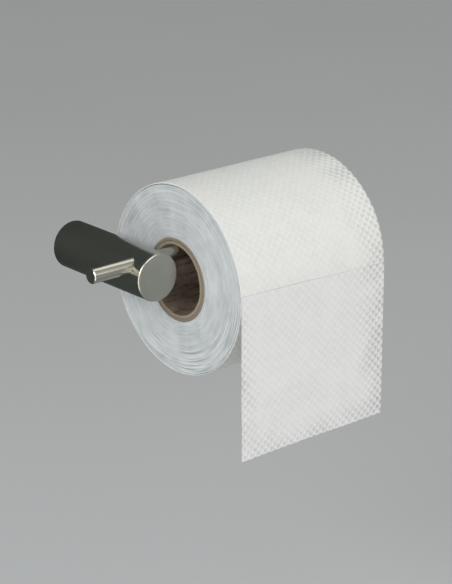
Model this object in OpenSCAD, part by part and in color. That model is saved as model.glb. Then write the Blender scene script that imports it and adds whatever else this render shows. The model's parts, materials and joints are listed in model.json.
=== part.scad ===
// Wall-mounted toilet paper holder: one round post, a thin bar crossing it, and a roll on the bar.
// Frame: X to the right along the wall, Y into the wall, Z up.
// The wall's surface is the plane y = 0, and the origin is the centre of the post on the wall.

/* [Post] */
// Diameter of the round post
post_d = 25; // [24:0.5:34]
// Length of post in front of the bar's axis
post_nose = 10.5; // [8:0.5:30]
// Radius of the rounded edge round the front face
post_edge_r = 0.9; // [0.3:0.1:2]

/* [Bar] */
// Diameter of the cross bar
bar_d = 8; // [5:0.5:9]
// Height of the bar's axis above the post's axis
bar_rise = 5.75; // [0:0.25:6]
// Length of the short stub that stands out of the post's left side
stub_len = 21.5; // [4:0.5:30]
// Length of bar that stands out beyond the roll
bar_overrun = 8; // [3:1:20]

/* [Wall fixing] */
// Diameter of the boss that is screwed to the wall
boss_d = 19; // [18:0.5:19.5]
// Length of the boss
boss_len = 14; // [12:0.5:18]
// Diameter of each wall screw's hole
screw_hole_d = 4.5; // [3:0.5:4.5]
// Distance between the two wall screws
screw_spacing = 9; // [8.5:0.1:9.2]
// Thickness of the ring between post and wall
gasket_t = 1; // [0.5:0.25:2]

/* [Paper roll] */
// Diameter of the full roll
roll_d = 100; // [80:1:130]
// Width of the paper
roll_w = 98; // [90:1:115]
// Gap between the full roll and the wall
wall_gap = 11; // [1:0.5:20]
// Distance from the post's axis to the roll's nearer end
roll_start = 20; // [16:1:40]
// Outer diameter of the cardboard core
core_d = 43.5; // [38:0.5:46]
// Wall thickness of the cardboard core
core_wall = 3.25; // [1:0.25:4]

/* [Hanging sheet] */
// Length of the sheet that hangs in front, from its perforation to its free edge
sheet_len = 86; // [60:1:130]
// Height of the perforation above the line where the paper leaves the roll
perforation_rise = 2.4; // [0:0.2:4]

/* [Hidden] */

$fn = 96;
slack = 0.02;                             // radial gap of parts that are assembled and locked
cut = 0.5;                                // how far a cutter runs past the face that it opens
paper_t = 0.4;                            // the tissue's thickness with its embossing
paper_gap = 0.3;                          // gap between pieces of paper that move past each other
glue_gap = 0.05;                          // gap between pieces that are glued together

post_r = post_d / 2;
bar_r = bar_d / 2;
roll_r = roll_d / 2;
bar_reach = roll_r + wall_gap;            // from the wall to the bar's axis
post_len = bar_reach + post_nose;         // from the wall to the post's front face
core_hole_r = core_d / 2 - core_wall;
bar_rest_gap = 0.1;                       // the core hangs this far above the bar, so that it turns
roll_z = bar_rise + bar_r + bar_rest_gap - core_hole_r;
roll_end = roll_start + roll_w;
bar_left = -(post_r + stub_len);
bar_right = roll_end + bar_overrun;
end_chamfer = 0.4;                        // on both ends of the bar and the foot of each set screw

socket_r = boss_d / 2 + slack;
socket_depth = boss_len + 2;
drill_point = socket_r * 0.3;             // the flat cone that the boring tool leaves
rear_chamfer = 0.3;
boss_floor = 4;                           // metal under each wall screw's head
head_hole_r = 4.1;                        // room for each wall screw's head
grub_y = 9;                               // from the wall to the post's set screw
grub_bite = 1.3;                          // how far the set screw's point goes into the boss
dimple_r = 2.1;                           // the dimple that it goes into, at the boss's surface
dimple_depth = 1.5;

grub_r = 2;                               // M4 thread
grub_recess = 0.3;                        // the screws sit this far inside the post's surface
grub_tip = 1.4;                           // length of the cone at the screw's end
grub_point_r = 0.5;                       // radius of the cone's blunt point
hex_key = 2;                              // across flats
hex_depth = 1.8;
bar_flat = 0.3;                           // depth of the flat that the lock screw bears on
bar_flat_w = 6;

// Draws its children, which stand on +Z, lying along -Y, out from the wall.
module from_wall() rotate([90, 0, 0]) children();

// Draws its children, which stand on +Z, lying along +X.
module along_x() rotate([0, 90, 0]) children();

// A tube round the roll's axis, as wide as the paper.
module roll_tube(outer_r, inner_r)
    translate([roll_start, -bar_reach, roll_z])
        along_x()
            difference() {
                cylinder(r = outer_r, h = roll_w, $fn = 180);
                translate([0, 0, -cut]) cylinder(r = inner_r, h = roll_w + 2 * cut, $fn = 180);
            }

// A set screw with a hexagon socket at its foot and a cone at its top.
module grub_screw(length)
    difference() {
        union() {
            cylinder(r1 = grub_r - end_chamfer, r2 = grub_r - slack, h = end_chamfer);
            translate([0, 0, end_chamfer])
                cylinder(r = grub_r - slack, h = length - end_chamfer - grub_tip);
            translate([0, 0, length - grub_tip])
                cylinder(r1 = grub_r - slack, r2 = grub_point_r, h = grub_tip);
        }
        translate([0, 0, -cut]) cylinder(d = hex_key * 2 / sqrt(3), h = hex_depth + cut, $fn = 6);
    }

// Outline of half the post, with its rounded front edge and the socket for the boss.
module post_outline()
    difference() {
        union() {
            translate([0, gasket_t]) square([post_r, post_len - gasket_t - post_edge_r]);
            translate([0, gasket_t]) square([post_r - post_edge_r, post_len - gasket_t]);
            translate([post_r - post_edge_r, post_len - post_edge_r]) circle(r = post_edge_r, $fn = 48);
        }
        polygon([[post_r - rear_chamfer - cut, gasket_t - cut],
                 [post_r + cut, gasket_t - cut],
                 [post_r + cut, gasket_t + rear_chamfer + cut]]);
        polygon([[-cut, gasket_t - cut], [socket_r, gasket_t - cut], [socket_r, socket_depth],
                 [0, socket_depth + drill_point], [-cut, socket_depth + drill_point]]);
    }

// The round post: a turned bar with a socket in its back, the cross bore and two tapped holes below.
module post_body() color([0.47, 0.465, 0.425])
    difference() {
        from_wall() rotate_extrude() post_outline();
        translate([-post_r - cut, -bar_reach, bar_rise])
            along_x() cylinder(r = bar_r + slack, h = post_d + 2 * cut);
        translate([0, -grub_y, -post_r - cut]) cylinder(r = grub_r, h = post_r + cut, $fn = 48);
        translate([0, -bar_reach, -post_r - cut])
            cylinder(r = grub_r, h = post_r + cut + bar_rise, $fn = 48);
    }

// The thin bar: its left end is the stub, and the roll hangs on the rest.
module cross_bar() color([0.47, 0.465, 0.425])
    difference() {
        translate([bar_left, -bar_reach, bar_rise])
            along_x() {
                cylinder(r1 = bar_r - end_chamfer, r2 = bar_r, h = end_chamfer);
                translate([0, 0, end_chamfer])
                    cylinder(r = bar_r, h = bar_right - bar_left - 2 * end_chamfer);
                translate([0, 0, bar_right - bar_left - end_chamfer])
                    cylinder(r1 = bar_r, r2 = bar_r - end_chamfer, h = end_chamfer);
            }
        translate([-bar_flat_w / 2, -bar_reach - bar_r, bar_rise - bar_r - cut])
            cube([bar_flat_w, bar_d, cut + bar_flat]);
    }

// The set screw under the post that holds the bar.
module bar_lock_screw() color([0.45, 0.45, 0.43])
    translate([0, -bar_reach, -post_r + grub_recess])
        grub_screw(post_r - grub_recess + bar_rise - bar_r + bar_flat);

// The turned boss on the wall: two counterbored screw holes and a dimple for the set screw.
module wall_boss() color([0.72, 0.62, 0.40])
    difference() {
        from_wall() cylinder(r = boss_d / 2, h = boss_len);
        translate([0, -grub_y, -boss_d / 2 - cut])
            cylinder(r1 = dimple_r + cut, r2 = grub_point_r, h = dimple_depth + cut, $fn = 48);
        for (side = [-1, 1])
            translate([side * screw_spacing / 2, 0, 0])
                from_wall() {
                    translate([0, 0, -cut]) cylinder(d = screw_hole_d, h = boss_len + 2 * cut, $fn = 48);
                    translate([0, 0, boss_floor]) cylinder(r = head_hole_r, h = boss_len, $fn = 48);
                }
    }

// The set screw under the post that grips the boss.
module post_set_screw() color([0.45, 0.45, 0.43])
    translate([0, -grub_y, -post_r + grub_recess])
        grub_screw(post_r - grub_recess - boss_d / 2 + grub_bite);

// The dark ring that the post is drawn against.
module wall_gasket() color([0.12, 0.12, 0.12])
    from_wall()
        difference() {
            cylinder(r = post_r - gasket_t, h = gasket_t);
            translate([0, 0, -cut]) cylinder(r = socket_r + slack, h = gasket_t + 2 * cut);
        }

// The two plies of the core's cardboard.
module core_inner_ply() color([0.50, 0.38, 0.29])
    roll_tube(core_d / 2 - core_wall / 2, core_hole_r);

module core_outer_ply() color([0.66, 0.55, 0.45])
    roll_tube(core_d / 2, core_d / 2 - core_wall / 2 + glue_gap);

// The wound paper under its outermost turn.
module wound_paper() color([0.76, 0.78, 0.80])
    roll_tube(roll_r - paper_t - paper_gap, core_d / 2 + glue_gap);

// The outermost turn, which the hanging sheet comes off.
module outer_wrap() color([0.87, 0.87, 0.85])
    roll_tube(roll_r, roll_r - paper_t);

// The last sheet, from its perforation down to its free edge.
module hanging_sheet() color([0.86, 0.86, 0.86])
    translate([roll_start, -bar_reach - roll_r - paper_gap - paper_t,
               roll_z + perforation_rise - sheet_len])
        cube([roll_w, paper_t, sheet_len]);

post_body();
cross_bar();
bar_lock_screw();
wall_boss();
post_set_screw();
wall_gasket();
core_inner_ply();
core_outer_ply();
wound_paper();
outer_wrap();
hanging_sheet();
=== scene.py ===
"""Looks for the toilet paper holder: a satin nickel post and bar, with a roll of embossed tissue on it.

World frame, metres: X along the wall, Y into the wall, Z up. The wall plane is y = 0.
"""

import json
import math

import bpy
import numpy as np
from mathutils import Matrix, Vector


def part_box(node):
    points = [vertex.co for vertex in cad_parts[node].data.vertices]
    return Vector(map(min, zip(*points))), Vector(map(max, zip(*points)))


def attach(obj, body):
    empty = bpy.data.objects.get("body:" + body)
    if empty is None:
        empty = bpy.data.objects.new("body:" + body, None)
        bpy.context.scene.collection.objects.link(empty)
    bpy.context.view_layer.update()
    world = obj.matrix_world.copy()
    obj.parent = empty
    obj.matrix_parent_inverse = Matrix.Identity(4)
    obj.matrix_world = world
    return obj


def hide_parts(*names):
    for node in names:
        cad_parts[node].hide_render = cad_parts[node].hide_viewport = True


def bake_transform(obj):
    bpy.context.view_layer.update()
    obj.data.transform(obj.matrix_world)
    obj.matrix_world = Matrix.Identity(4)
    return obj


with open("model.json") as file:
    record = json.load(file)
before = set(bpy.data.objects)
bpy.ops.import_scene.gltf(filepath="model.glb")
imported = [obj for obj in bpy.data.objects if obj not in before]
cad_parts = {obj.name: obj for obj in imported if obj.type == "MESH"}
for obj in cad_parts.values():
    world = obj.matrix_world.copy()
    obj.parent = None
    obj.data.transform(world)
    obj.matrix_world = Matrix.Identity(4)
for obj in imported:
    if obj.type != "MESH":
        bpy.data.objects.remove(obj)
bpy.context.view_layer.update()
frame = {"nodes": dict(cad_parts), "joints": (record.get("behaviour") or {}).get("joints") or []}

MM = 0.001
TURN = 2 * math.pi

# ---------------------------------------- places taken from the frame

wrap_low, wrap_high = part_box("outer_wrap")
wound_low, wound_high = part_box("wound_paper")
outer_ply_low, outer_ply_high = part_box("core_outer_ply")
inner_ply_low, inner_ply_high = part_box("core_inner_ply")
bar_low, bar_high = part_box("cross_bar")

LEFT = wrap_low.x
WIDTH = wrap_high.x - wrap_low.x
AXIS_Y = (wrap_low.y + wrap_high.y) / 2
AXIS_Z = (wrap_low.z + wrap_high.z) / 2
WRAP_R = (wrap_high.z - wrap_low.z) / 2
WOUND_R = (wound_high.z - wound_low.z) / 2
OUTER_PLY_R = (outer_ply_high.z - outer_ply_low.z) / 2
INNER_PLY_R = (inner_ply_high.z - inner_ply_low.z) / 2
BAR_Y = (bar_low.y + bar_high.y) / 2
BAR_Z = (bar_low.z + bar_high.z) / 2
SHEET_FOOT_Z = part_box("hanging_sheet")[0].z

# ---------------------------------------- sizes of what is made here

BOARD = 1.625 * MM  # one ply of the core
ACROSS = 163  # steps across the paper's width
STEP = WIDTH / ACROSS
EMBOSS_PITCH = 7.55 * STEP
EMBOSS_HEIGHT = 0.19 * MM
PAPER = 0.16 * MM
PAPER_GAP = 0.04 * MM
WRAP_START_R = WRAP_R  # the last turn's outside where the sheet leaves the roll
WRAP_END_R = WRAP_R - 0.24 * MM  # and where it passes under itself
PERFORATION_LEFT = 4.4 * MM  # height of the perforation over the roll's front line
PERFORATION_RIGHT = 0.8 * MM
SLIT_PITCH = 2.3 * MM
STRIP_REST = 2.6 * MM  # height of the pulled strip at rest

# ---------------------------------------- mesh and noise helpers

NOISE_CELLS = 512  # cells of noise along v before it repeats


def value_noise(seed, u, v, around=256):
    """Smooth noise from -1 to 1 on a lattice of unit cells, which repeats after `around` cells of u."""
    table = np.random.RandomState(seed).uniform(-1, 1, (around, NOISE_CELLS))
    iu, iv = np.floor(u).astype(int), np.floor(v).astype(int)
    fu, fv = u - iu, v - iv
    fu, fv = fu * fu * (3 - 2 * fu), fv * fv * (3 - 2 * fv)
    u0, u1 = iu % around, (iu + 1) % around
    v0, v1 = iv % NOISE_CELLS, (iv + 1) % NOISE_CELLS
    low_row = table[u0, v0] * (1 - fu) + table[u1, v0] * fu
    high_row = table[u0, v1] * (1 - fu) + table[u1, v1] * fu
    return low_row * (1 - fv) + high_row * fv


def rows_to_quads(index, closed=False, flip=False):
    """Quads between neighbouring rows of a 2-D array of vertex numbers. closed joins the last row to
    the first."""
    rows = np.vstack([index, index[:1]]) if closed else index
    a, b = rows[:-1, :-1], rows[:-1, 1:]
    c, d = rows[1:, 1:], rows[1:, :-1]
    quads = np.stack([a, b, c, d], axis=-1).reshape(-1, 4)
    return quads[:, ::-1] if flip else quads


def mesh_object(name, points, groups, uv=None):
    """A smooth mesh object from arrays: points, and groups of faces, with one row of vertex numbers for
    each face. uv is one (u, v) for each point."""
    mesh = bpy.data.meshes.new(name)
    mesh.vertices.add(len(points))
    mesh.vertices.foreach_set("co", np.asarray(points, np.float32).ravel())
    groups = [np.asarray(g, np.int32) for g in groups]
    corners = np.concatenate([g.ravel() for g in groups])
    sides = np.concatenate([np.full(len(g), g.shape[1]) for g in groups])
    mesh.loops.add(len(corners))
    mesh.loops.foreach_set("vertex_index", corners)
    mesh.polygons.add(len(sides))
    starts = np.concatenate([[0], np.cumsum(sides)[:-1]]).astype(np.int32)
    mesh.polygons.foreach_set("loop_start", starts)
    mesh.polygons.foreach_set("use_smooth", np.ones(len(sides), bool))
    if uv is not None:
        layer = mesh.uv_layers.new(name="paper")
        layer.data.foreach_set("uv", np.asarray(uv, np.float32)[corners].ravel())
    mesh.update(calc_edges=True)
    mesh.validate()
    made = bpy.data.objects.new(name, mesh)
    bpy.context.scene.collection.objects.link(made)
    return made


def around_axis(x, angle, radius):
    """Points on the roll. The angle is 0 at the front and a quarter turn at the top."""
    y = AXIS_Y - radius * np.cos(angle)
    z = AXIS_Z + radius * np.sin(angle)
    return np.stack(np.broadcast_arrays(x, y, z), axis=-1)


def uv_grid(u, v):
    """The pairs (u, v) of two arrays that broadcast to one grid."""
    return np.stack(np.broadcast_arrays(u, v), axis=-1)


def fade(distance, length):
    """From 0 to 1 over a length."""
    return np.clip(distance / length, 0, 1)


# ---------------------------------------- material helpers


class Material:
    """A node material with one Principled shader, and short ways to add nodes to it."""

    def __init__(self, name, **uniform):
        self.made = bpy.data.materials.new(name)
        self.made.use_nodes = True
        self.tree = self.made.node_tree
        self.shader = self.tree.nodes["Principled BSDF"]
        for socket, value in uniform.items():
            self.shader.inputs[socket.replace("_", " ")].default_value = value

    def feed(self, socket, value):
        """Links a socket to another node's output, or sets it to a plain value."""
        if isinstance(value, bpy.types.NodeSocket):
            self.tree.links.new(value, socket)
        else:
            socket.default_value = value

    def add(self, kind, inputs=None, **settings):
        node = self.tree.nodes.new("ShaderNode" + kind)
        for key, value in settings.items():
            setattr(node, key, value)
        for key, value in (inputs or {}).items():
            self.feed(node.inputs[key], value)
        return node

    def link(self, output, socket):
        self.tree.links.new(output, self.shader.inputs[socket])

    def math(self, operation, a, b=0.0):
        return self.add("Math", {0: a, 1: b}, operation=operation).outputs[0]

    def plus(self, a, b):
        return self.math("ADD", a, b)

    def minus(self, a, b):
        return self.math("SUBTRACT", a, b)

    def times(self, a, b):
        return self.math("MULTIPLY", a, b)

    def larger(self, a, b):
        return self.math("MAXIMUM", a, b)

    def split(self, vector):
        """The three parts of a vector."""
        return self.add("SeparateXYZ", {0: vector}).outputs

    def noise(self, vector, scale, detail, roughness=0.5, dimensions="3D"):
        """Noise from 0 to 1, with about `scale` cells a metre."""
        inputs = {"Vector": vector, "Scale": scale, "Detail": detail, "Roughness": roughness}
        return self.add("TexNoise", inputs, noise_dimensions=dimensions).outputs["Fac"]

    def ramp(self, value, low, high, to_low=0.0, to_high=1.0):
        """to_low where the value is low, to_high where it is high, a slope between, and flat beyond."""
        inputs = {0: value, 1: low, 2: high, 3: to_low, 4: to_high}
        return self.add("MapRange", inputs, clamp=True).outputs[0]

    def blend(self, factor, a, b):
        """Colour a where the factor is 0, and b where it is 1."""
        node = self.add("Mix", {"Factor": factor}, data_type="RGBA")
        for key, colour in ((6, a), (7, b)):
            plain = not isinstance(colour, bpy.types.NodeSocket)
            self.feed(node.inputs[key], (*colour, 1) if plain else colour)
        return node.outputs[2]

    def bump(self, height, distance, strength, normal=None):
        """A bump as high as `distance` where the height is 1."""
        inputs = {"Height": height, "Distance": distance, "Strength": strength}
        if normal is not None:
            inputs["Normal"] = normal
        return self.add("Bump", inputs).outputs["Normal"]

    def place(self):
        return self.add("TexCoord").outputs["Object"]

    def paper_uv(self):
        return self.add("UVMap", uv_map="paper").outputs["UV"]

    def end_facing(self):
        """1 where the surface faces along X, as the roll's ends do, and 0 where it faces across."""
        normal = self.add("NewGeometry").outputs["True Normal"]
        return self.math("ABSOLUTE", self.split(normal)[0])


def scaled(colour, factor):
    return tuple(min(1.0, factor * c) for c in colour)


def paint(piece, look):
    """Puts one material on every slot of a piece. The mesh itself stays as it is."""
    if not piece.material_slots:
        piece.data.materials.append(look.made)
    for material_slot in piece.material_slots:
        material_slot.material = look.made


ROUGHNESS_DOWN, ROUGHNESS_UP = 0.012, 0.015  # how far smears and lathe marks change a metal's roughness


def turned_metal(name, colour, along, centre, roughness, marks=0.15):
    """Satin metal with fine lathe marks round the axis `along` ("X", "Y" or "Z") through `centre`."""
    m = Material(name, Metallic=1.0)
    place = m.add("VectorMath", {0: m.place(), 1: centre}, operation="SUBTRACT").outputs[0]
    parts = m.split(place)
    axis = "XYZ".index(along)
    p, q = (parts[i] for i in range(3) if i != axis)
    radius = m.math("SQRT", m.plus(m.times(p, p), m.times(q, q)))
    groove_at = m.add("CombineXYZ", {0: radius, 1: parts[axis]}).outputs[0]
    grooves = m.noise(groove_at, 5200.0, 3.0, 0.6, "2D")
    smears = m.noise(place, 160.0, 4.0, 0.62)
    patches = m.noise(place, 34.0, 2.0, 0.5)
    tint = m.ramp(patches, 0.3, 0.7)
    m.link(m.blend(tint, scaled(colour, 0.96), scaled(colour, 1.03)), "Base Color")
    smeared = m.ramp(smears, 0.3, 0.7, roughness - ROUGHNESS_DOWN, roughness + ROUGHNESS_UP)
    grooved = m.ramp(grooves, 0.2, 0.8, -ROUGHNESS_DOWN, ROUGHNESS_UP)
    m.link(m.plus(smeared, grooved), "Roughness")
    fine = m.bump(grooves, 0.006 * MM, marks)
    m.link(m.bump(smears, 0.02 * MM, 0.07, fine), "Normal")
    return m


# ---------------------------------------- camera, floor and lights

IMAGE_HEIGHT = 584
CAMERA_AT = (-0.6112, -0.8361, 0.3434)
YAW, PITCH, ROLL = (math.radians(a) for a in (40.601, 19.708, 0.089))

scene = bpy.context.scene
camera_data = bpy.data.cameras.new("Camera")
camera_data.sensor_width = 36.0
camera_data.lens = 129.0
camera_data.shift_y = -1 / IMAGE_HEIGHT
camera_data.clip_start = 0.05
camera_data.clip_end = 60
camera = bpy.data.objects.new("Camera", camera_data)
scene.collection.objects.link(camera)
camera.matrix_world = (
    Matrix.Translation(CAMERA_AT)
    @ Matrix.Rotation(-YAW, 4, "Z")
    @ Matrix.Rotation(math.pi / 2 - PITCH, 4, "X")
    @ Matrix.Rotation(-ROLL, 4, "Z")
)
scene.camera = camera


def plane(name, size, at, turn=(0, 0, 0)):
    """A square stage plane, facing +Z before it is turned."""
    h = size / 2
    made = mesh_object(name, [(-h, -h, 0), (h, -h, 0), (h, h, 0), (-h, h, 0)], [[(0, 1, 2, 3)]])
    made.location = at
    made.rotation_euler = turn
    return made


FLOOR_Z = -0.30
floor = plane("Floor", 40.0, (0, 0, FLOOR_Z))
floor_look = Material("Floor_pale", Roughness=0.9)
floor_tone = floor_look.noise(floor_look.place(), 3.0, 3.0)
floor_look.link(floor_look.blend(floor_tone, (0.62, 0.63, 0.635), (0.66, 0.67, 0.675)), "Base Color")
paint(floor, floor_look)

# A dark card where the wall would be, seen in the metal's reflections only.
card = plane("Reflection_card", 1.1, (-0.5, 0.004, -0.05), (math.pi / 2, 0, 0))
card_look = Material("Card_dark", Roughness=1.0)
card_tone = card_look.noise(card_look.place(), 2.0, 2.0)
card_look.link(card_look.blend(card_tone, (0.080, 0.093, 0.087), (0.094, 0.110, 0.102)), "Base Color")
paint(card, card_look)
card.visible_camera = False
card.visible_diffuse = False
card.visible_shadow = False
card.visible_transmission = False


def area_light(name, at, aim, size, power, colour):
    data = bpy.data.lights.new(name, "AREA")
    data.shape = "DISK"
    data.size = size
    data.energy = power
    data.color = colour
    lamp = bpy.data.objects.new(name, data)
    scene.collection.objects.link(lamp)
    lamp.location = at
    lamp.rotation_mode = "QUATERNION"
    lamp.rotation_quaternion = (Vector(aim) - Vector(at)).to_track_quat("-Z", "Y")
    lamp.visible_camera = False
    return lamp


ROLL_AIM = (0.06, -0.05, -0.02)
area_light("Front", (0.55, -2.1, 0.75), ROLL_AIM, 1.2, 15.2, (1.0, 0.99, 0.965))
area_light("Left_cool", (-1.6, -0.6, 0.9), ROLL_AIM, 1.0, 17.5, (0.90, 0.965, 1.0))

# Lights for reflections only, each with its place, size and power. The glints make the bands along the
# bar's stub, and the others the bright rim of the post's face.
BAR_AIM = (0.0, -0.05, 0.0)
CREAM = (1.0, 0.96, 0.87)
for light_name, light_at, light_size, light_power in (
    ("Glint", (0.72, -0.01, 0.94), 0.68, 1.7),
    ("Glint_soft", (0.80, -0.83, 0.50), 1.0, 0.95),
    ("Rim_upper", (-0.90, -0.75, 0.42), 1.3, 9.6),
    ("Rim_left", (-0.62, -0.27, -0.16), 0.4, 0.95),
    ("Rim_lower", (-0.24, -0.30, -0.26), 0.28, 0.45),
):
    area_light(light_name, light_at, BAR_AIM, light_size, light_power, CREAM).visible_diffuse = False

world = bpy.data.worlds.new("Studio")
scene.world = world
world.use_nodes = True
sky = world.node_tree.nodes["Background"]
sky.inputs["Color"].default_value = (0.99, 0.995, 0.975, 1)
sky.inputs["Strength"].default_value = 0.40
scene.view_settings.view_transform = "Standard"

# ---------------------------------------- metal, rubber: the CAD nodes in better materials

NICKEL = (0.39, 0.385, 0.342)
STEEL = (0.52, 0.51, 0.49)
BRASS = (0.72, 0.54, 0.27)
POST_MID = (0, 0, 0)
BAR_MID = (0, BAR_Y, BAR_Z)
BAR_SCREW_MID = (0, BAR_Y, 0)
SET_SCREW_MID = (0, -0.009, 0)
finishes = {
    "post_body": turned_metal("Nickel_post", NICKEL, "Y", POST_MID, 0.23),
    "cross_bar": turned_metal("Nickel_bar", NICKEL, "X", BAR_MID, 0.21),
    "bar_lock_screw": turned_metal("Steel_bar_screw", STEEL, "Z", BAR_SCREW_MID, 0.3, marks=1.0),
    "post_set_screw": turned_metal("Steel_set_screw", STEEL, "Z", SET_SCREW_MID, 0.3, marks=1.0),
    "wall_boss": turned_metal("Brass_boss", BRASS, "Y", POST_MID, 0.26, marks=1.0),
}
rubber = Material("Rubber_gasket", Roughness=0.75)
rubber_grain = rubber.noise(rubber.place(), 2600.0, 3.0)
rubber.link(rubber.blend(rubber_grain, (0.022, 0.022, 0.023), (0.040, 0.040, 0.042)), "Base Color")
rubber.link(rubber.bump(rubber_grain, 0.05 * MM, 0.5), "Normal")
finishes["wall_gasket"] = rubber
for cad_node, finish in finishes.items():
    paint(frame["nodes"][cad_node], finish)

# ---------------------------------------- the core: two plies of board, wound in a helix

SEAM_TURNS = 1.55  # turns of the helix over the core's length
SEAM_WIDTH = 0.035  # in half turns
SEAM_DEPTH = 0.16 * MM
INSIDE_PLAY = 0.03 * MM  # what the inside stands back from the CAD ply's
END_SHARE = 0.005  # the share of the length at each end that the rough cut moves


def board_tube(name, ply_radius, seed):
    """One ply of the core as a tube with a helical seam, rough cut ends and a little waviness."""
    rings, along = 256, 120
    angle = np.linspace(0, TURN, rings, endpoint=False)[:, None]
    share = np.linspace(0, 1, along + 1)[None, :]
    turns = angle / TURN
    from_seam = np.abs((turns - SEAM_TURNS * share) % 1.0 - 0.5) * 2
    groove = SEAM_DEPTH * np.clip((SEAM_WIDTH - from_seam) / SEAM_WIDTH, 0, 1)
    wave = 0.03 * MM * value_noise(seed, turns * 7, share * 9, 7)
    cut = 0.10 * MM * value_noise(seed + 1, turns * 60, np.zeros_like(turns), 60)
    cut += 0.06 * MM * value_noise(seed + 2, turns * 128, np.zeros_like(turns), 128)
    inwards = np.where(share < 0.5, 1, -1)
    x = LEFT + WIDTH * share + inwards * cut * (np.abs(share - 0.5) > 0.5 - END_SHARE)
    outside = around_axis(x, angle, ply_radius)
    inside = around_axis(x, angle, ply_radius - BOARD + INSIDE_PLAY + groove + wave)
    out_index = np.arange(rings * (along + 1)).reshape(rings, along + 1)
    in_index = out_index + out_index.size
    quads = [
        rows_to_quads(out_index, closed=True, flip=True),
        rows_to_quads(in_index, closed=True),
        rows_to_quads(np.stack([in_index[:, 0], out_index[:, 0]], axis=1), closed=True, flip=True),
        rows_to_quads(np.stack([out_index[:, -1], in_index[:, -1]], axis=1), closed=True, flip=True),
    ]
    uv = uv_grid(turns, share).reshape(-1, 2)
    points = np.vstack([outside.reshape(-1, 3), inside.reshape(-1, 3)])
    return mesh_object(name, points, quads, np.vstack([uv, uv]))


def board_look(name, pale, dark, cut, shift):
    """Grey-brown board: long fibres, blotches and a rough surface. cut tints the cut ends."""
    m = Material(name, Roughness=0.9, Specular_IOR_Level=0.2)
    place = m.place()
    turned = {"Rotation": (0.6, 0.0, 0.5), "Scale": (0.07, 1.0, 1.0), "Location": (shift, 0, 0)}
    fibre_place = m.add("Mapping", {"Vector": place, **turned}).outputs[0]
    fibres = m.noise(fibre_place, 900.0, 3.0, 0.6)
    blotches = m.noise(place, 240.0, 3.0, 0.6)
    fine = m.noise(place, 5200.0, 2.0, 0.6)
    tone = m.plus(m.times(fibres, 0.6), m.times(blotches, 0.4))
    side = m.blend(m.ramp(tone, 0.36, 0.64), dark, pale)
    end = m.blend(m.ramp(fine, 0.3, 0.7), scaled(cut, 0.86), cut)
    at_end = m.ramp(m.end_facing(), 0.6, 0.8)
    m.link(m.blend(at_end, side, end), "Base Color")
    m.link(m.bump(fine, 0.08 * MM, 0.5, m.bump(fibres, 0.15 * MM, 0.5)), "Normal")
    return m


core_inner = board_tube("core_inner_board", INNER_PLY_R, 11)
core_outer = board_tube("core_outer_board", OUTER_PLY_R, 21)
INNER_CUT = (0.40, 0.33, 0.245)
# The outer ply's cut end is darker than the inner's: board tone, and painted shade of the gap line
# beside the paper.
OUTER_CUT_AND_GAP_SHADE = (0.315, 0.25, 0.185)
paint(core_inner, board_look("Board_inner", (0.52, 0.405, 0.32), (0.20, 0.15, 0.12), INNER_CUT, 0.0))
paint(core_outer, board_look("Board_outer", (0.47, 0.37, 0.29), (0.33, 0.24, 0.18), OUTER_CUT_AND_GAP_SHADE, 3.0))

# ---------------------------------------- the wound paper, with its layers on both end faces

# Two sizes of ridge, where a band of layers stands out: its thickness, its height and its bends a turn.
RIDGES = ((0.62 * MM, 0.09 * MM, 5.3), (1.15 * MM, 0.18 * MM, 3.7))
GAP_DEPTH = 0.6  # of the grooves between ridges, in ridge heights
RIM_ZONE = 0.45  # the outer share of the layers where the ridges grow towards the rim
DENT_HEIGHT = 0.22 * MM
CORE_GAP = 0.4 * MM  # how far the first layers lie back beside the core
CORE_GAP_WIDTH = 0.45 * MM
RINGS, SPOKES = 155, 300  # steps on an end face; more would bring the piece over 200,000 triangles
FACE_IN = OUTER_PLY_R + 0.05 * MM
ROUND_OFF = 0.25 * MM  # how far the rim of the end face is rounded back
ROUND_WIDTH = 0.5 * MM


def layer_height(radius, angle, seed):
    """How far each layer of the wound paper stands out of the roll's end face."""
    depth = (WOUND_R - radius) / (WOUND_R - OUTER_PLY_R)
    turns = angle / TURN
    height = 0
    for k, (thick, size, bends) in enumerate(RIDGES):
        spiral = (radius - OUTER_PLY_R) / thick - turns
        length = np.floor(spiral) + turns
        ridge = value_noise(seed + k, length * bends + 1000, 0 * length)
        edge = 1 - np.abs(2 * (spiral - np.floor(spiral)) - 1) ** 3
        height = height + size * (ridge * edge - GAP_DEPTH * (1 - edge))
    near_rim = 0.35 + 1.05 * np.clip(1 - depth / RIM_ZONE, 0, 1)
    low_down = 0.85 - 0.60 * np.sin(angle)
    patch = np.clip(0.6 + 1.0 * value_noise(seed + 7, turns * 5, depth * 2.2, 5), 0.1, 1.5)
    dent = DENT_HEIGHT * value_noise(seed + 8, turns * 6, depth * 2.6, 6)
    beside_core = CORE_GAP * np.exp(-(((radius - OUTER_PLY_R) / CORE_GAP_WIDTH) ** 2))
    return height * (near_rim * low_down) * patch + dent * fade(depth, 0.12) - beside_core


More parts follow.
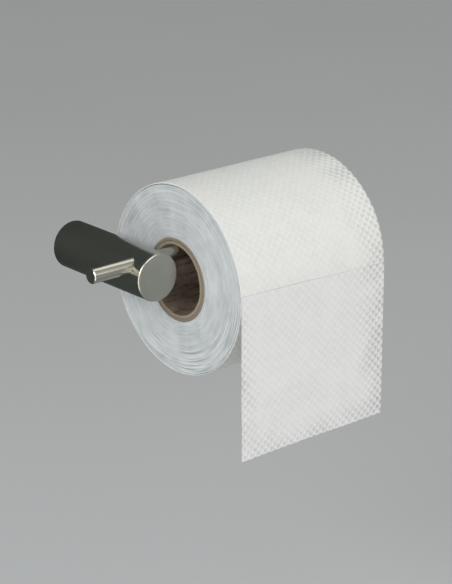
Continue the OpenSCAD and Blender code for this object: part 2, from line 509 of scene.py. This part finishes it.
spoke = np.linspace(0, TURN, SPOKES, endpoint=False)[:, None]
ring = np.linspace(0, 1, RINGS + 1)[None, :]
face_radius = FACE_IN + (WOUND_R - FACE_IN) * ring + 0 * spoke
round_off = ROUND_OFF * np.clip(1 - (1 - ring) * (WOUND_R - FACE_IN) / ROUND_WIDTH, 0, 1) ** 2
face_left = LEFT - layer_height(face_radius, spoke, 31) + round_off
face_right = LEFT + WIDTH + layer_height(face_radius, spoke, 41) - round_off
left_index = np.arange(SPOKES * (RINGS + 1)).reshape(SPOKES, RINGS + 1)
right_index = left_index + left_index.size
wound_points = np.vstack([
    around_axis(face_left, spoke, face_radius).reshape(-1, 3),
    around_axis(face_right, spoke, face_radius).reshape(-1, 3),
])
wound_quads = [
    rows_to_quads(left_index, closed=True),
    rows_to_quads(right_index, closed=True, flip=True),
    rows_to_quads(np.stack([left_index[:, -1], right_index[:, -1]], axis=1), closed=True),
    rows_to_quads(np.stack([right_index[:, 0], left_index[:, 0]], axis=1), closed=True),
]
wound_uv = uv_grid(face_radius, spoke * WOUND_R).reshape(-1, 2)
wound = mesh_object("wound_layers", wound_points, wound_quads, np.vstack([wound_uv, wound_uv]))


def layers_look():
    """The ends of the layers: fine rings, clearer near the rim and low down, blotches and flecks. The
    roll's outer side is painted near black: painted shade in the gap under the last turn.
    """
    m = Material("Tissue_layers", Roughness=0.95, Specular_IOR_Level=0.15, Sheen_Weight=0.1)
    uv = m.paper_uv()
    place = m.place()
    ring_place = m.add("Mapping", {"Vector": uv, "Scale": (1.0, 0.02, 1.0)}).outputs[0]
    lines = m.noise(ring_place, 4200.0, 3.0, 0.7, "2D")
    bands = m.noise(ring_place, 1500.0, 2.0, 0.6, "2D")
    blotches = m.noise(place, 95.0, 3.0, 0.55)
    flecks = m.noise(place, 1400.0, 3.0, 0.7)
    tone = m.plus(m.times(lines, 0.35), m.times(bands, 0.3))
    tone = m.plus(tone, m.times(blotches, 0.35))
    near_rim = m.ramp(m.split(uv)[0], 0.68 * WOUND_R, 0.92 * WOUND_R, 0, 0.8)
    # The rim rings show more in some patches and less in others.
    ring_patches = m.ramp(m.noise(place, 30.0, 2.0, 0.5), 0.44, 0.58, 0.15, 1.3)
    low, high = AXIS_Z - 0.7 * WOUND_R, AXIS_Z + 0.7 * WOUND_R
    low_down = m.ramp(m.split(place)[2], low, high, 2.1, 0.3)
    rim_rings = m.times(m.minus(bands, 0.5), m.times(near_rim, ring_patches))
    tone = m.ramp(m.plus(tone, m.times(rim_rings, low_down)), 0.32, 0.62)
    face_white = m.blend(tone, (0.465, 0.478, 0.486), (0.79, 0.795, 0.798))
    # Painted shade: where the surface faces across, on the outer side seen only in the gap under the
    # last turn, the colour is near black.
    on_face = m.ramp(m.end_facing(), 0.25, 0.5)
    m.link(m.blend(on_face, (0.10, 0.10, 0.10), face_white), "Base Color")
    m.link(m.bump(flecks, 0.12 * MM, 0.4, m.bump(lines, 0.2 * MM, 0.7)), "Normal")
    return m


paint(wound, layers_look())

# ---------------------------------------- the embossed tissue

RIGHT_ZONE = 0.25  # the share of the width at the right where the dots get deeper
EDGE_FADE = 4 * MM  # the dots are flatter this close to the paper's side edges
EDGE_SHARE = 0.02  # the share of the width that the wander of an edge moves
SCALLOP = 0.03 * MM  # waves of the cut edge, one to a dot
EDGE_WANDER = 0.12 * MM
EDGE_WANDER_LENGTH = 9 * MM


def emboss(x, run):
    """Height of the embossed dots, about -1 to 1: a diagonal lattice, pressed deepest towards the right
    edge. run is the length along the paper."""
    depth = 0.68 + 0.5 * np.clip((x - LEFT) / WIDTH - (1 - RIGHT_ZONE), 0, 1) / RIGHT_ZONE
    depth = depth * np.clip(0.25 + (LEFT + WIDTH - x) / EDGE_FADE, 0, 1)
    return depth * np.cos(TURN * (x - LEFT) / EMBOSS_PITCH) * np.cos(TURN * run / EMBOSS_PITCH)


def edge_shift(run, seed):
    """Sideways wander of the paper's cut edge."""
    scallop = SCALLOP * np.cos(TURN * run / EMBOSS_PITCH)
    return scallop + EDGE_WANDER * value_noise(seed, run / EDGE_WANDER_LENGTH + 100, 0 * run)


def paper_across(run, seed):
    """The x of each column of points across the paper, for one or more rows at `run`."""
    share = np.linspace(0, 1, ACROSS + 1)[None, :]
    left, right = edge_shift(run, seed), edge_shift(run, seed + 1)
    near_left = np.clip(1 - share / EDGE_SHARE, 0, 1)
    near_right = np.clip(1 - (1 - share) / EDGE_SHARE, 0, 1)
    return LEFT + WIDTH * share + left * near_left + right * near_right


def closed_sheet(name, front, back, uv):
    """A thin closed sheet from two grids of points, front and back, joined round their rims."""
    rows, columns = front.shape[:2]
    f = np.arange(rows * columns).reshape(rows, columns)
    b = f + f.size
    quads = [
        rows_to_quads(f),
        rows_to_quads(b, flip=True),
        rows_to_quads(np.stack([f[0], b[0]])),
        rows_to_quads(np.stack([f[-1], b[-1]]), flip=True),
        rows_to_quads(np.stack([f[:, 0], b[:, 0]]), flip=True),
        rows_to_quads(np.stack([f[:, -1], b[:, -1]])),
    ]
    points = np.vstack([front.reshape(-1, 3), back.reshape(-1, 3)])
    return mesh_object(name, points, quads, np.vstack([uv.reshape(-1, 2)] * 2))


# The last turn on the roll: a spiral that starts under the hanging sheet and ends under its own start.
wrap_rows = round(TURN * WRAP_R / STEP)
wrap_angle = np.linspace(0, TURN * 1.004, wrap_rows + 1)[:, None]
wrap_run = wrap_angle * WRAP_R
wrap_x = paper_across(wrap_run, 51)
wrap_inside = wrap_x - LEFT


def wrap_waves(seed, height, around, width):
    """Shallow waves: `around` of them in the turn, and each `width` wide along X."""
    return height * value_noise(seed, wrap_angle / TURN * around, wrap_inside / width, around)


wander = wrap_waves(61, 0.10 * MM, 13, 22 * MM) + wrap_waves(62, 0.05 * MM, 34, 9 * MM)
settle = fade(np.minimum(wrap_angle, TURN - wrap_angle), 0.25)
wrap_base = WRAP_START_R + (WRAP_END_R - WRAP_START_R) * wrap_angle / TURN
# Over the top, near the left edge, the paper stands a little off the roll.
LIFT, LIFT_WIDTH = 0.55 * MM, 16 * MM
LIFT_ANGLE, LIFT_SPREAD = 1.45, 0.65
over_top = np.exp(-(((wrap_angle - LIFT_ANGLE) / LIFT_SPREAD) ** 2))
lift = LIFT * over_top * np.clip(1 - wrap_inside / LIFT_WIDTH, 0, 1)
fade_end = fade(wrap_angle[-1] - wrap_angle, 0.1)
fade_left = np.clip(0.3 + wrap_inside / EDGE_FADE, 0, 1)
wrap_relief = 0.8 * EMBOSS_HEIGHT * emboss(wrap_x, wrap_run) * fade_end * fade_left
wrap_front = around_axis(wrap_x, wrap_angle, wrap_base + wrap_relief + settle * (wander + lift))
wrap_uv = uv_grid(wrap_x, wrap_run)


def wrap_sheet():
    """The last turn's outside at full detail, with a plain inside that nobody can see, and its rims."""
    rows, columns = wrap_front.shape[:2]
    f = np.arange(rows * columns).reshape(rows, columns)
    inside = around_axis(wrap_x[:, [0, -1]], wrap_angle, wrap_base - PAPER - EMBOSS_HEIGHT)
    b = f.size + np.arange(rows * 2).reshape(rows, 2)
    quads = [
        rows_to_quads(f, flip=True),
        rows_to_quads(b),
        rows_to_quads(np.stack([b[:, 0], f[:, 0]], axis=1), flip=True),
        rows_to_quads(np.stack([f[:, -1], b[:, 1]], axis=1), flip=True),
    ]
    for row, flip in ((0, True), (-1, False)):
        fan = np.stack([f[row, :-1], f[row, 1:], np.full(columns - 1, b[row, 0])], axis=1)
        last = np.array([[f[row, -1], b[row, 1], b[row, 0]]])
        cap = np.vstack([fan, last])
        quads.append(cap[:, ::-1] if flip else cap)
    points = np.vstack([wrap_front.reshape(-1, 3), inside.reshape(-1, 3)])
    uv = np.vstack([wrap_uv.reshape(-1, 2), wrap_uv[:, [0, -1]].reshape(-1, 2)])
    return mesh_object("last_turn", points, quads, uv)


last_turn = wrap_sheet()

# The hanging sheet: rows over the roll's front up to the perforation, then rows straight down.
HANG_R = WRAP_START_R + PAPER_GAP + PAPER
TOP_ROWS = 8
PERFORATION_WANDER = 0.22 * MM
FOOT_WANDER = 0.10 * MM
SWAY, SWAY_WIDTH = 0.55 * MM, 40 * MM  # the sheet's slow bends, which grow towards its foot
RIPPLE, RIPPLE_WIDTH = 0.12 * MM, 11 * MM
hang_length = AXIS_Z - SHEET_FOOT_Z
down_rows = round(hang_length / STEP)
column_share = np.linspace(0, 1, ACROSS + 1)
perforation = PERFORATION_LEFT + (PERFORATION_RIGHT - PERFORATION_LEFT) * column_share
perforation = perforation + PERFORATION_WANDER * value_noise(71, column_share * 5, 0 * column_share)
run_top = perforation[None, :] * np.linspace(1, 0, TOP_ROWS + 1)[:-1, None]
run_down = -hang_length * np.linspace(0, 1, down_rows + 1)[:, None] + 0 * column_share[None, :]
run_down[-1] += FOOT_WANDER * value_noise(72, column_share * 70, 0 * column_share)
hang_run = np.vstack([run_top, run_down])
hang_x = paper_across(hang_run[:, :1], 81)
hang_inside = hang_x - LEFT
over = np.clip(hang_run, 0, None) / HANG_R
below = np.clip(-hang_run, 0, None)
drop = below / hang_length
sway = SWAY * drop * value_noise(73, hang_inside / SWAY_WIDTH + 3, drop * 1.6)
ripple = RIPPLE * np.clip(drop * 6, 0, 1) * value_noise(74, hang_inside / RIPPLE_WIDTH, drop * 7)
hang_relief = EMBOSS_HEIGHT * emboss(hang_x, hang_run)


def hang_points(radius):
    r = radius + hang_relief
    y = AXIS_Y - r * np.cos(over) - (sway + ripple)
    z = AXIS_Z + r * np.sin(over) - below
    return np.stack([hang_x, y, z], axis=-1)


hang_uv = uv_grid(hang_x, hang_run)
hanging = closed_sheet("hanging_tissue", hang_points(HANG_R), hang_points(HANG_R - PAPER), hang_uv)

# The strip that comes off the roll as the sheet is pulled. At rest it is squeezed behind the sheet.
STRIP_ROWS, STRIP_FINE_STEPS = 150, 4000
STRIP_TOP = AXIS_Z + 0.02 * MM
STRIP_R = WRAP_R - 0.16 * MM
STRIP_TOP_R = WRAP_START_R - 0.02 * MM
STRIP_LEAVES = 1.5 * MM  # the length over which the strip comes away from the roll
PULL = next(j for j in frame["joints"] if j["name"] == "sheet_pull")["range_m"][1]


def strip_object(travel):
    """Rows spaced evenly when pulled out by `travel`, and squeezed into STRIP_REST at rest."""
    t_fine = np.linspace(0, 1, STRIP_FINE_STEPS + 1)
    paid_out = STRIP_REST * t_fine + travel * t_fine**2 * (3 - 2 * t_fine)
    wanted = np.linspace(0, paid_out[-1], STRIP_ROWS + 1)[:, None]
    t = np.interp(wanted, paid_out, t_fine)
    x = paper_across(-wanted, 91)
    z = STRIP_TOP - STRIP_REST * t + 0 * x
    leaving = np.clip(1 - wanted / STRIP_LEAVES, 0, 1)
    radius = STRIP_R + (STRIP_TOP_R - STRIP_R) * leaving
    radius = radius + (0.8 + 0.2 * leaving) * EMBOSS_HEIGHT * emboss(x, -wanted)
    front = np.stack([x, AXIS_Y - radius, z], axis=-1)
    back = np.stack([x, AXIS_Y - radius + 0.5 * PAPER, z], axis=-1)
    return closed_sheet("pulled_strip", front, back, uv_grid(x, -wanted))


strip = strip_object(PULL)

NET_SHADE_COLOUR = (0.40, 0.41, 0.41)  # painted shade between the embossed dots
# Painted shade in the slits along the perforation.
SLIT_SHADE_COLOUR = (0.30, 0.305, 0.30)
RIGHT_CLEARER, LEFT_CLEARER, FOOT_CLEARER = 3.4, 2.3, 2.8  # how much clearer the dots are there
FOOT_START, FOOT_END = -0.069, -0.086  # where they get clearer, as length along the sheet
LEFT_ZONE_START = -0.02  # from here down, the dots by the left edge are clearer
PIT_SHADE = 0.10  # how dark the painted shade in the pits between clear dots is
EDGE_HIGHLIGHT, EDGE_HIGHLIGHT_WHITE = 0.22, 1.06  # painted highlight: where the dots are clear, the paper is painted up to 1.06 times as white


def tissue(name, pale, net_shade, slit_shade=0.0, foot=0.0):
    """Soft white tissue. net_shade is how dark the painted shade between the embossed dots is,
    slit_shade how much painted shade darkens the slits along the perforated edge, and foot how much
    clearer the dots are at the foot."""
    m = Material(name, Roughness=0.92, Specular_IOR_Level=0.18, Sheen_Weight=0.12, Sheen_Roughness=0.6)
    uv = m.paper_uv()
    x, run = m.split(uv)[:2]
    wave = TURN / EMBOSS_PITCH
    across = m.math("COSINE", m.times(m.minus(x, LEFT), wave))
    lattice = m.times(across, m.math("COSINE", m.times(run, wave)))
    dot = m.math("POWER", m.larger(lattice, 0.0), 2.0)
    pit = m.math("POWER", m.larger(m.times(lattice, -1.0), 0.0), 2.0)
    net = m.ramp(lattice, -0.45, 0.5, 1.0, 0.0)

    # The dots show most near the paper's side edges and at its foot: the bumps are deeper there, and
    # the colour has more painted shade between the dots and a painted highlight on the paper.
    at_right = m.ramp(x, LEFT + 0.78 * WIDTH, LEFT + WIDTH, 0.0, RIGHT_CLEARER)
    at_left = m.ramp(x, LEFT, LEFT + 0.11 * WIDTH, LEFT_CLEARER, 0.0)
    at_left = m.times(at_left, m.ramp(run, 0.0, LEFT_ZONE_START))
    at_foot = m.ramp(run, FOOT_START, FOOT_END, 0.0, foot)
    near_edge = m.larger(m.larger(at_left, at_right), at_foot)
    pressed = m.ramp(m.noise(uv, 60.0, 2.0, 0.5, "2D"), 0.35, 0.62, 0.4, 0.8)
    pressed = m.times(pressed, m.plus(1.0, near_edge))

    fibres = m.noise(uv, 3800.0, 3.0, 0.65, "2D")
    cloud = m.noise(uv, 260.0, 3.0, 0.6, "2D")
    tone = m.plus(m.times(fibres, 0.5), m.times(cloud, 0.5))
    white = m.blend(m.ramp(tone, 0.35, 0.62), scaled(pale, 0.945), pale)
    # Painted highlight: near the edges the paper is painted whiter.
    white = m.blend(m.times(near_edge, EDGE_HIGHLIGHT), white, scaled(pale, EDGE_HIGHLIGHT_WHITE))
    # Painted shade: the net between the dots and the pits near the edges are darkened in the colour,
    # more where pressed is larger.
    shade = m.times(m.times(net, pressed), net_shade)
    shade = m.plus(shade, m.times(pit, m.times(near_edge, PIT_SHADE)))
    toned = m.blend(shade, white, NET_SHADE_COLOUR)
    # Painted shade along the perforation: the slits are darkened in the colour.
    if slit_shade:
        slope = (PERFORATION_RIGHT - PERFORATION_LEFT) / WIDTH
        line = m.plus(m.times(m.minus(x, LEFT), slope), PERFORATION_LEFT)
        over_line = m.minus(run, line)
        slit_wave = m.math("SINE", m.times(x, TURN / SLIT_PITCH))
        slits = m.ramp(slit_wave, -0.8, 0.0, 0.45, 1.0)
        at_line = m.ramp(over_line, -0.60 * MM, -0.15 * MM, 0, slit_shade)
        toned = m.blend(m.times(at_line, slits), toned, SLIT_SHADE_COLOUR)
    m.link(toned, "Base Color")

    relief = m.times(m.minus(dot, m.times(net, 0.6)), pressed)
    m.link(m.bump(relief, 0.30 * MM, 0.5, m.bump(fibres, 0.10 * MM, 0.45)), "Normal")
    return m


# The paper on the roll is painted a warmer white than the loose paper: painted light, standing in for
# the warm light from above.
WARM_LIGHT_WHITE = (0.905, 0.90, 0.865)
COOL_WHITE = (0.90, 0.89, 0.885)
paint(last_turn, tissue("Tissue_on_roll", WARM_LIGHT_WHITE, 0.14))
paint(hanging, tissue("Tissue_last_sheet", COOL_WHITE, 0.18, slit_shade=0.12, foot=FOOT_CLEARER))
paint(strip, tissue("Tissue_pulled", COOL_WHITE, 0.18))

# ---------------------------------------- what rides on what

for piece, body, cad_node, record_slot in (
    (core_inner, "roll", "core_inner_ply", "core_board_inner"),
    (core_outer, "roll", "core_outer_ply", "core_board_outer"),
    (wound, "roll", "wound_paper", "tissue_wound"),
    (last_turn, "paper_web", "outer_wrap", "tissue_sheet"),
    (hanging, "last_sheet", "hanging_sheet", "tissue_sheet"),
):
    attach(piece, body)
    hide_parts(cad_node)

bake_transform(strip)
